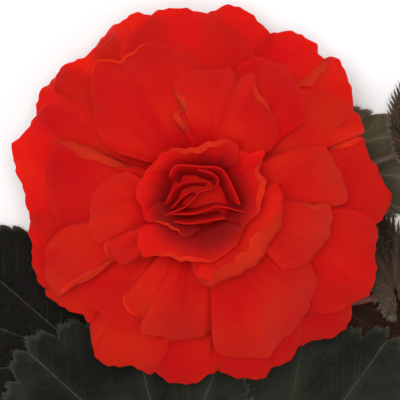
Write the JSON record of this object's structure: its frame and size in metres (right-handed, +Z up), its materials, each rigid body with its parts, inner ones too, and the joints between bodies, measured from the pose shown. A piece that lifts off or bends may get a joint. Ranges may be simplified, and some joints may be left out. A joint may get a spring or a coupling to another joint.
{
  "type": "begonia bloom",
  "caption": "Double scarlet begonia bloom on a picked shoot, facing up, with its cut stem and dark toothed leaves lying round it.",
  "frame": {"origin": "centre of the shoot's footprint, on the surface that it lies on", "axes": "+Z up out of the face of the bloom, +Y from the cut end of the stem towards the bloom"},
  "size_m": [0.2116, 0.2046, 0.0499],
  "materials": {
    "petal": "satin, slightly fleshy",
    "stem": "satin, finely hairy",
    "leaf": "matt, puckered and veined",
    "leaf_underside": "matt, with raised veins",
    "young_leaf": "matt, hairy"
  },
  "bodies": {
    "root": {"bloom": "petal", "stem": "stem", "leaf_lower_left": "leaf", "leaf_lower_right": "leaf", "leaf_left": "leaf", "leaf_right": "leaf_underside", "leaf_upper_right": "leaf", "young_leaf_upper": "young_leaf", "young_leaf_right": "young_leaf"}
  },
  "joints": []
}
